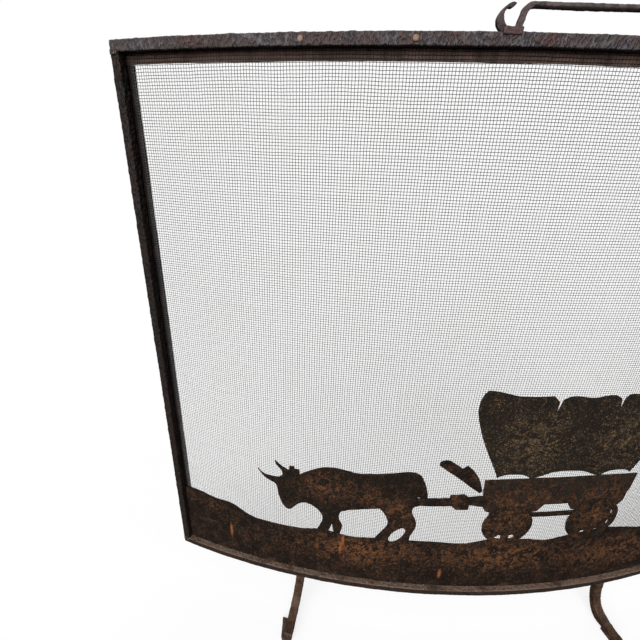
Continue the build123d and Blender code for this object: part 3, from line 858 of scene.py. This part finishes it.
# ---- The cut figures ----
BLACK, OLIVE, GREYISH = srgb(20, 17, 15), srgb(24, 21, 17), srgb(40, 36, 32)
figures = {
    "ground_plate": dict(
        base=BLACK, rust_level=0.42,
        blooms=[(at(-150, 75), oval(190, 70), 1.15), (at(60, 80), oval(220, 70), 1.1),
                (at(-250, 70), oval(110, 60), 0.6), (at(-395, 108), oval(60, 30), 0.6),
                (at(260, 70), oval(220, 70), 1.1)],
        streaks=[(at(-184, 94), oval(3.4, 20)), (at(-187, 76), oval(3.4, 20)), (at(-366, 60), oval(3.6, 22)),
                 (at(-30, 40), oval(4, 14))],
    ),
    "ox": dict(
        base=OLIVE, rust_level=0.42,
        blooms=[(at(-212, 196), oval(80, 50), 0.95), (at(-104, 160), oval(60, 60), 1.1),
                (at(-140, 190), oval(90, 40), 0.85)],
    ),
    "draft_pole": dict(base=OLIVE, rust_level=0.6),
    "hitch_plate": dict(base=OLIVE, rust_level=0.8),
    "dash_board": dict(base=BLACK, rust_level=0.5, blooms=[(at(-12, 236), oval(18, 20), 0.9)]),
    "wagon_bed": dict(
        base=GREYISH, rust_level=0.6,
        blooms=[(at(70, 195), oval(120, 50), 0.9), (at(190, 200), oval(110, 50), 0.9)],
    ),
    "canopy": dict(
        base=srgb(34, 29, 25), rust_level=0.5, rust=(srgb(54, 45, 36), srgb(88, 72, 54), srgb(146, 116, 82)),
        blooms=[(at(60, 300), oval(110, 120), 0.9), (at(190, 300), oval(110, 120), 0.9)],
    ),
    "reach_pole": dict(base=OLIVE, rust_level=0.6),
    "front_wheel": dict(base=OLIVE, rust_level=0.8, blooms=[(at(53, 160), oval(80, 60), 1.0)]),
    "rear_wheel": dict(base=OLIVE, rust_level=0.8, blooms=[(at(184, 160), oval(80, 60), 1.0)]),
}
for seed, (node, looks) in enumerate(figures.items()):
    mesh = cut_plate(node, 60 + 7 * seed)
    add_piece(node + "_sheet", mesh, sheet_iron(node + "_rust", **looks), "sheet_iron", node)

# ---- Rivets and welds ----
rail_rivet = rivet_iron(
    "rail_rivet_iron", srgb(96, 74, 68), srgb(74, 58, 54), [at(x, 736, 0) for x in (-255, -153, 153, 358)]
)
figure_rivet = rivet_iron("figure_rivet_iron", srgb(54, 43, 36), srgb(30, 25, 22))
add_piece("frame_rivet_heads", rivet_mesh("frame_rivet_heads", "frame_rivets", 1.0 * MM, 3), rail_rivet,
          "hammered_bar", "frame_rivets")
add_piece("figure_rivet_heads", rivet_mesh("figure_rivet_heads", "figure_rivets", 0.8 * MM, 4), figure_rivet,
          "sheet_iron", "figure_rivets")
corner_weld = weld_iron("corner_weld_iron", srgb(80, 68, 62), srgb(44, 36, 33), 0.14)
lump_weld = weld_iron("lump_weld_iron", srgb(104, 80, 78), srgb(72, 54, 52), 0.02)
for node, slot_name, weld in (
    ("corner_welds", "hammered_bar", corner_weld), ("handle_welds", "forged_handle", lump_weld)
):
    mesh = forged_copy(node, 0.35 * MM, 2)
    hammer(mesh, 0.35 * MM, 3 * MM, 91, 0.2 * MM)
    add_piece(node + "_beads", mesh, weld, slot_name, node)

# ---- Handle and legs ----
# The grip's last colour is painted shade for its undersides.
grip = forged_iron(
    "grip_iron", srgb(100, 88, 87), srgb(64, 54, 53), srgb(104, 84, 78), srgb(36, 29, 28)
)
mesh = forged_copy("handle", 0.5 * MM)
hammer(mesh, 0.35 * MM, 4.5 * MM, 71, 0.2 * MM)
add_piece("handle_bar", mesh, grip, "forged_handle", "handle")
leg = forged_iron("leg_iron", srgb(88, 66, 50), srgb(52, 40, 33), srgb(112, 76, 48))
pad = forged_iron("pad_iron", srgb(104, 85, 80), srgb(80, 62, 58), srgb(112, 86, 66))
for side, piece in itertools.product(("left", "right"), ("front_leg", "foot_pad", "rear_leg")):
    node = side + "_" + piece
    mesh = forged_copy(node, 0.8 * MM)
    hammer(mesh, 0.5 * MM, 7 * MM, 81, 0.3 * MM)
    settle(mesh)
    add_piece(node + "_iron", mesh, pad if piece == "foot_pad" else leg, "forged_leg", node)


# ---- Floor and light ----
def add_floor():
    bpy.ops.mesh.primitive_plane_add(size=16)
    floor = bpy.context.object
    floor.name = "floor"
    s = Surface("floor")
    pale = s.mix(s.noise(0.6, 3), (0.34, 0.34, 0.34, 1), (0.3, 0.3, 0.3, 1))
    s.put(s.shader.inputs["Emission Color"], (1, 1, 1, 1))
    s.put(s.shader.inputs["Emission Strength"], 0.76)
    floor.data.materials.append(s.finish(pale, 0.9))
    floor.visible_diffuse = False
    floor.visible_glossy = False


def add_sun(name, direction, strength, spread):
    data = bpy.data.lights.new(name, "SUN")
    data.energy = strength
    data.angle = math.radians(spread)
    light = bpy.data.objects.new(name, data)
    light.rotation_mode = "QUATERNION"
    light.rotation_quaternion = Vector(direction).to_track_quat("-Z", "Y")
    bpy.context.scene.collection.objects.link(light)


def add_world():
    """White behind everything; a soft sky lights the object from above and leaves its undersides dark."""
    world = bpy.data.worlds.new("studio")
    world.use_nodes = True
    tree = world.node_tree
    tree.nodes.clear()

    def node(kind, **settings):
        made = tree.nodes.new(kind)
        for key, value in settings.items():
            setattr(made, key, value)
        return made

    place = node("ShaderNodeTexCoord")
    parts = node("ShaderNodeSeparateXYZ")
    height = node("ShaderNodeMapRange")
    sky, backdrop = node("ShaderNodeBackground"), node("ShaderNodeBackground")
    seen, choice = node("ShaderNodeLightPath"), node("ShaderNodeMixShader")
    result = node("ShaderNodeOutputWorld")
    for key, value in (("From Min", -0.2), ("From Max", 0.8), ("To Min", 0.02), ("To Max", 0.45)):
        height.inputs[key].default_value = value
    backdrop.inputs["Strength"].default_value = 1.0
    backdrop.inputs["Color"].default_value = (1, 1, 1, 1)
    for out, into in (
        (place.outputs["Generated"], parts.inputs[0]),
        (parts.outputs["Z"], height.inputs["Value"]),
        (height.outputs[0], sky.inputs["Strength"]),
        (seen.outputs["Is Camera Ray"], choice.inputs[0]),
        (sky.outputs[0], choice.inputs[1]),
        (backdrop.outputs[0], choice.inputs[2]),
        (choice.outputs[0], result.inputs["Surface"]),
    ):
        tree.links.new(out, into)
    bpy.context.scene.world = world


add_floor()
add_world()
add_sun("key", (0.33, 0.85, -0.45), 3.1, 55)
bpy.context.scene.view_settings.view_transform = "Standard"
